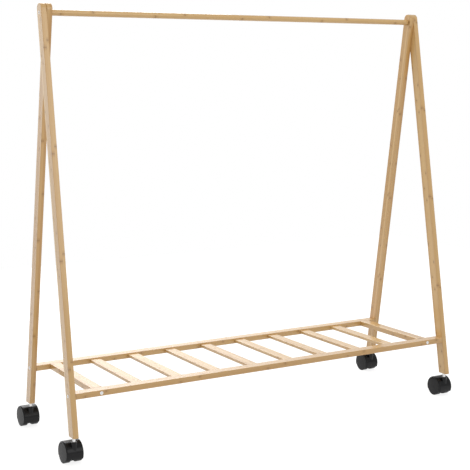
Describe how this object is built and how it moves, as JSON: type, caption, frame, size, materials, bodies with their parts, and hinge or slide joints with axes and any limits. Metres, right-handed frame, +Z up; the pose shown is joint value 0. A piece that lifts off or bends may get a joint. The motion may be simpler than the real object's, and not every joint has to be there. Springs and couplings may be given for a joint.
{
  "type": "rolling clothes rack",
  "caption": "Bamboo A-frame clothes rack on twin-wheel casters, with a round hanging rod on top and a low slatted shelf between the leaning legs.",
  "frame": {"origin": "on the floor, at the middle of the box round the rack with all four casters trailing to the rear", "axes": "+X along the hanging rod to the right, +Y to the rear, +Z up"},
  "size_m": [1.2484, 0.4096, 1.15],
  "materials": {
    "bamboo_bar": "satin lacquered laminated bamboo",
    "bamboo_rod": "satin lacquered laminated bamboo",
    "dowel_wood": "plain beech",
    "bolt_steel": "zinc plated",
    "insert_steel": "zinc plated",
    "stem_steel": "bright zinc plated",
    "axle_steel": "ground steel",
    "caster_black": "semi-gloss moulded nylon",
    "wheel_black": "satin moulded nylon"
  },
  "bodies": {
    "frame": {"front_left_leg": "bamboo_bar", "front_right_leg": "bamboo_bar", "rear_left_leg": "bamboo_bar", "rear_right_leg": "bamboo_bar", "front_rail": "bamboo_bar", "rear_rail": "bamboo_bar", "left_crossbar": "bamboo_bar", "right_crossbar": "bamboo_bar", "slat_1": "bamboo_bar", "slat_2": "bamboo_bar", "slat_3": "bamboo_bar", "slat_4": "bamboo_bar", "slat_5": "bamboo_bar", "slat_6": "bamboo_bar", "slat_7": "bamboo_bar", "slat_8": "bamboo_bar", "hanging_rod": "bamboo_rod", "left_pivot_bolt": "bolt_steel", "right_pivot_bolt": "bolt_steel", "rail_bolts": "bolt_steel", "crossbar_bolts": "bolt_steel", "rod_inserts": "insert_steel", "rail_inserts": "insert_steel", "crossbar_inserts": "insert_steel", "slat_dowels": "dowel_wood", "front_left_leg_insert": "insert_steel", "front_left_stem": "stem_steel", "front_right_leg_insert": "insert_steel", "front_right_stem": "stem_steel", "rear_left_leg_insert": "insert_steel", "rear_left_stem": "stem_steel", "rear_right_leg_insert": "insert_steel", "rear_right_stem": "stem_steel"},
    "front_left_caster": {"front_left_hood": "caster_black", "front_left_axle": "axle_steel"},
    "front_left_left_wheel": {"front_left_left_wheel": "wheel_black"},
    "front_left_right_wheel": {"front_left_right_wheel": "wheel_black"},
    "front_right_caster": {"front_right_hood": "caster_black", "front_right_axle": "axle_steel"},
    "front_right_left_wheel": {"front_right_left_wheel": "wheel_black"},
    "front_right_right_wheel": {"front_right_right_wheel": "wheel_black"},
    "rear_left_caster": {"rear_left_hood": "caster_black", "rear_left_axle": "axle_steel"},
    "rear_left_left_wheel": {"rear_left_left_wheel": "wheel_black"},
    "rear_left_right_wheel": {"rear_left_right_wheel": "wheel_black"},
    "rear_right_caster": {"rear_right_hood": "caster_black", "rear_right_axle": "axle_steel"},
    "rear_right_left_wheel": {"rear_right_left_wheel": "wheel_black"},
    "rear_right_right_wheel": {"rear_right_right_wheel": "wheel_black"}
  },
  "joints": [
    {"name": "front_left_swivel", "type": "hinge", "parent": "frame", "child": "front_left_caster", "pos_m": [-0.6005, -0.18965, 0.05], "axis": [0, 0, 1], "continuous": true},
    {"name": "front_left_left_spin", "type": "hinge", "parent": "front_left_caster", "child": "front_left_left_wheel", "pos_m": [-0.6005, -0.16805, 0.025], "axis": [1, 0, 0], "continuous": true},
    {"name": "front_left_right_spin", "type": "hinge", "parent": "front_left_caster", "child": "front_left_right_wheel", "pos_m": [-0.6005, -0.16805, 0.025], "axis": [1, 0, 0], "continuous": true},
    {"name": "front_right_swivel", "type": "hinge", "parent": "frame", "child": "front_right_caster", "pos_m": [0.6005, -0.18965, 0.05], "axis": [0, 0, 1], "continuous": true},
    {"name": "front_right_left_spin", "type": "hinge", "parent": "front_right_caster", "child": "front_right_left_wheel", "pos_m": [0.6005, -0.16805, 0.025], "axis": [1, 0, 0], "continuous": true},
    {"name": "front_right_right_spin", "type": "hinge", "parent": "front_right_caster", "child": "front_right_right_wheel", "pos_m": [0.6005, -0.16805, 0.025], "axis": [1, 0, 0], "continuous": true},
    {"name": "rear_left_swivel", "type": "hinge", "parent": "frame", "child": "rear_left_caster", "pos_m": [-0.5855, 0.15435, 0.05], "axis": [0, 0, 1], "continuous": true},
    {"name": "rear_left_left_spin", "type": "hinge", "parent": "rear_left_caster", "child": "rear_left_left_wheel", "pos_m": [-0.5855, 0.17595, 0.025], "axis": [1, 0, 0], "continuous": true},
    {"name": "rear_left_right_spin", "type": "hinge", "parent": "rear_left_caster", "child": "rear_left_right_wheel", "pos_m": [-0.5855, 0.17595, 0.025], "axis": [1, 0, 0], "continuous": true},
    {"name": "rear_right_swivel", "type": "hinge", "parent": "frame", "child": "rear_right_caster", "pos_m": [0.5855, 0.15435, 0.05], "axis": [0, 0, 1], "continuous": true},
    {"name": "rear_right_left_spin", "type": "hinge", "parent": "rear_right_caster", "child": "rear_right_left_wheel", "pos_m": [0.5855, 0.17595, 0.025], "axis": [1, 0, 0], "continuous": true},
    {"name": "rear_right_right_spin", "type": "hinge", "parent": "rear_right_caster", "child": "rear_right_right_wheel", "pos_m": [0.5855, 0.17595, 0.025], "axis": [1, 0, 0], "continuous": true}
  ]
}
